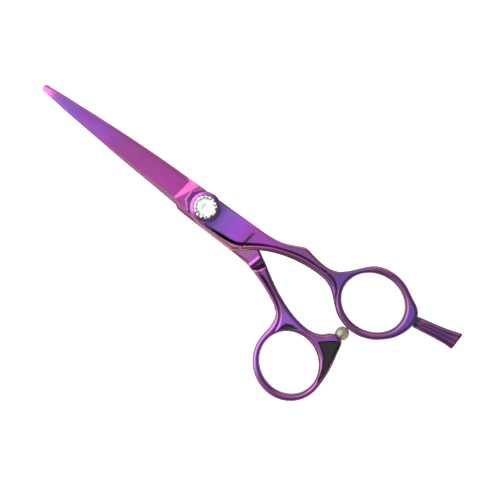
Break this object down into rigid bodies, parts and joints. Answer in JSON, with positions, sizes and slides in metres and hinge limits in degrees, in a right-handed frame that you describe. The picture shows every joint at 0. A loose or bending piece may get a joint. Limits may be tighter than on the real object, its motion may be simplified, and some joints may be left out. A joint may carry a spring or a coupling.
{
  "type": "hairdressing shears",
  "caption": "Hairdressing shears with straight blades, oval finger rings, a tension dial set with a stone, a finger rest and a bumper.",
  "frame": {"origin": "on the pivot's axis, on the flat back of the pivot screw's head, in the plane that the closed shears lie on", "axes": "+Z out of the tension dial, +X from the pivot towards the finger rings (the blade tips point to -X), +Y towards the finger ring's side"},
  "size_m": [0.155, 0.0547, 0.0088],
  "materials": {
    "coated_steel": "mirror polished violet to magenta titanium coating over forged stainless steel",
    "dial_steel": "turned and polished magenta coated metal with a bright conical rim",
    "rest_steel": "polished magenta coated metal, darker at the neck",
    "pivot_steel": "fine turned stainless steel",
    "bushing_brass": "plain turned brass",
    "washer_nylon": "thin white nylon",
    "stone_glass": "clear faceted crystal glass",
    "stone_foil": "silver mirror foil behind the stone",
    "bumper_rubber": "smooth smoky grey translucent silicone rubber"
  },
  "bodies": {
    "finger_half": {"finger_blade": "coated_steel", "seat_plate": "dial_steel", "pivot_bushing": "bushing_brass", "blade_washer": "washer_nylon"},
    "thumb_half": {"thumb_blade": "coated_steel", "pivot_screw": "pivot_steel", "click_plate": "pivot_steel", "bumper": "bumper_rubber", "bumper_stud": "pivot_steel"},
    "dial": {"tension_dial": "dial_steel", "crystal": "stone_glass", "crystal_foil": "stone_foil", "click_spring": "pivot_steel", "click_ball_1": "pivot_steel", "click_ball_2": "pivot_steel"},
    "rest": {"finger_rest": "rest_steel", "finger_rest_stud": "pivot_steel"}
  },
  "joints": [
    {"name": "blade_pivot", "type": "hinge", "parent": "finger_half", "child": "thumb_half", "pos_m": [0, 0, 0.003], "axis": [0, 0, -1], "range_deg": [0, 80]},
    {"name": "dial_turn", "type": "hinge", "parent": "thumb_half", "child": "dial", "pos_m": [0, 0, 0.007], "axis": [0, 0, 1], "range_deg": [-180, 180]},
    {"name": "rest_turn", "type": "hinge", "parent": "finger_half", "child": "rest", "pos_m": [0.07525, 0.01039, 0.003], "axis": [0.981, 0.1941, 0], "range_deg": [0, 360]}
  ]
}
